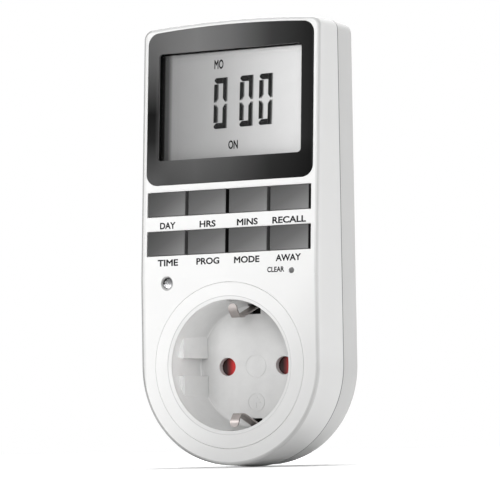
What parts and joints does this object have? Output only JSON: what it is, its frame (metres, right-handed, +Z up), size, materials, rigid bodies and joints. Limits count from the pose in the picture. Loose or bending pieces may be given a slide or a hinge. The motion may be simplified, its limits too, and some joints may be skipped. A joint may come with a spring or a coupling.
{
  "type": "plug-in timer switch",
  "caption": "Plug-in digital timer switch with display, key rows and a sprung-earth mains socket in front, and a matching mains plug behind.",
  "frame": {"origin": "centre of the plug's end face, the face that meets the wall socket's floor", "axes": "+Z up, +Y back towards the wall along the plug pins, +X to the right seen from the front; millimetre model in metres"},
  "size_m": [0.06, 0.0643, 0.1335],
  "materials": {
    "white_shell": "fine gloss moulded",
    "white_insert": "moulded",
    "black_gloss": "high gloss",
    "clear_pane": "clear acrylic",
    "lcd_cell": "reflective liquid crystal cell",
    "key_grey": "satin",
    "silicone": "soft",
    "led_clear": "clear epoxy",
    "shutter_red": "moulded",
    "carrier_grey": "glass filled",
    "board_green": "solder mask on glass laminate",
    "chip_black": "epoxy",
    "brass": "stamped",
    "nickel": "nickel plated",
    "spring_steel": "stamped spring steel",
    "screw_zinc": "zinc plated",
    "relay_blue": "moulded",
    "relay_base": "moulded",
    "coil_copper": "enamelled copper wire",
    "relay_iron": "soft iron",
    "film_yellow": "moulded box",
    "can_black": "sleeved can",
    "cell_green": "sleeved cell",
    "part_blue": "epoxy dipped",
    "part_tan": "lacquered",
    "header_black": "moulded"
  },
  "bodies": {
    "case": {"front_cover": "white_shell", "rear_cover": "white_shell", "display_bezel": "black_gloss", "display_window": "clear_pane", "lcd_panel": "lcd_cell", "lcd_holder": "relay_base", "zebra_strip": "silicone", "keypad_mat": "silicone", "reset_switch": "chip_black", "status_led": "led_clear", "display_board": "board_green", "controller_chip": "chip_black", "quartz_crystal": "nickel", "display_board_screws": "screw_zinc", "main_board": "board_green", "main_board_screws": "screw_zinc", "board_link": "header_black", "relay_base": "relay_base", "relay_cover": "relay_blue", "relay_coil": "coil_copper", "relay_yoke": "relay_iron", "relay_contacts": "brass", "mains_capacitor": "film_yellow", "smoothing_capacitor": "can_black", "backup_battery": "cell_green", "battery_tabs": "nickel", "rectifier_diodes": "chip_black", "power_resistors": "part_tan", "varistor": "part_blue", "driver_transistor": "chip_black", "socket_insert": "white_insert", "shutter_spring": "spring_steel", "contact_carrier": "carrier_grey", "carrier_screws": "screw_zinc", "socket_contact_live": "brass", "socket_contact_neutral": "brass", "live_busbar": "brass", "neutral_busbar": "brass", "plug_pin_live": "nickel", "plug_pin_neutral": "nickel", "earth_yoke": "brass", "plug_earth_strip_top": "nickel", "plug_earth_strip_bottom": "nickel", "plug_earth_socket": "nickel", "case_screws": "screw_zinc"},
    "shutter": {"shutter": "shutter_red"},
    "earth_clip_top": {"earth_clip_top": "nickel"},
    "earth_clip_bottom": {"earth_clip_bottom": "nickel"},
    "relay_armature": {"relay_armature": "relay_iron"},
    "reset_button": {"reset_button": "key_grey"},
    "key_day": {"key_day": "key_grey"},
    "key_hour": {"key_hour": "key_grey"},
    "key_minute": {"key_minute": "key_grey"},
    "key_recall": {"key_recall": "key_grey"},
    "key_clock": {"key_clock": "key_grey"},
    "key_timer": {"key_timer": "key_grey"},
    "key_mode": {"key_mode": "key_grey"},
    "key_random": {"key_random": "key_grey"}
  },
  "joints": [
    {"name": "day_press", "type": "slide", "parent": "case", "child": "key_day", "axis": [0, 0.9981, -0.061], "range_m": [0, 0.0008], "stiffness_N_per_m": 1500, "deforming": ["keypad_mat"]},
    {"name": "hour_press", "type": "slide", "parent": "case", "child": "key_hour", "axis": [0, 0.9981, -0.061], "range_m": [0, 0.0008], "stiffness_N_per_m": 1500, "deforming": ["keypad_mat"]},
    {"name": "minute_press", "type": "slide", "parent": "case", "child": "key_minute", "axis": [0, 0.9981, -0.061], "range_m": [0, 0.0008], "stiffness_N_per_m": 1500, "deforming": ["keypad_mat"]},
    {"name": "recall_press", "type": "slide", "parent": "case", "child": "key_recall", "axis": [0, 0.9981, -0.061], "range_m": [0, 0.0008], "stiffness_N_per_m": 1500, "deforming": ["keypad_mat"]},
    {"name": "clock_press", "type": "slide", "parent": "case", "child": "key_clock", "axis": [0, 0.9981, -0.061], "range_m": [0, 0.0008], "stiffness_N_per_m": 1500, "deforming": ["keypad_mat"]},
    {"name": "timer_press", "type": "slide", "parent": "case", "child": "key_timer", "axis": [0, 0.9981, -0.061], "range_m": [0, 0.0008], "stiffness_N_per_m": 1500, "deforming": ["keypad_mat"]},
    {"name": "mode_press", "type": "slide", "parent": "case", "child": "key_mode", "axis": [0, 0.9981, -0.061], "range_m": [0, 0.0008], "stiffness_N_per_m": 1500, "deforming": ["keypad_mat"]},
    {"name": "random_press", "type": "slide", "parent": "case", "child": "key_random", "axis": [0, 0.9981, -0.061], "range_m": [0, 0.0008], "stiffness_N_per_m": 1500, "deforming": ["keypad_mat"]},
    {"name": "reset_press", "type": "slide", "parent": "case", "child": "reset_button", "axis": [0, 0.9981, -0.061], "range_m": [0, 0.0005], "stiffness_N_per_m": 1500},
    {"name": "shutter_turn", "type": "hinge", "parent": "case", "child": "shutter", "pos_m": [0, -0.0239, 0], "axis": [0, -1, 0], "range_deg": [0, 36], "stiffness_Nm_per_rad": 0.02, "deforming": ["shutter_spring"]},
    {"name": "earth_clip_top_flex", "type": "hinge", "parent": "case", "child": "earth_clip_top", "pos_m": [0, -0.0238, 0.0192], "axis": [-1, 0, 0], "range_deg": [0, 4], "stiffness_Nm_per_rad": 2},
    {"name": "earth_clip_bottom_flex", "type": "hinge", "parent": "case", "child": "earth_clip_bottom", "pos_m": [0, -0.0238, -0.0192], "axis": [1, 0, 0], "range_deg": [0, 4], "stiffness_Nm_per_rad": 2},
    {"name": "armature_tilt", "type": "hinge", "parent": "case", "child": "relay_armature", "pos_m": [0.0043, -0.03299, 0.05825], "axis": [-1, 0, 0], "range_deg": [0, 2], "stiffness_Nm_per_rad": 0.05}
  ]
}
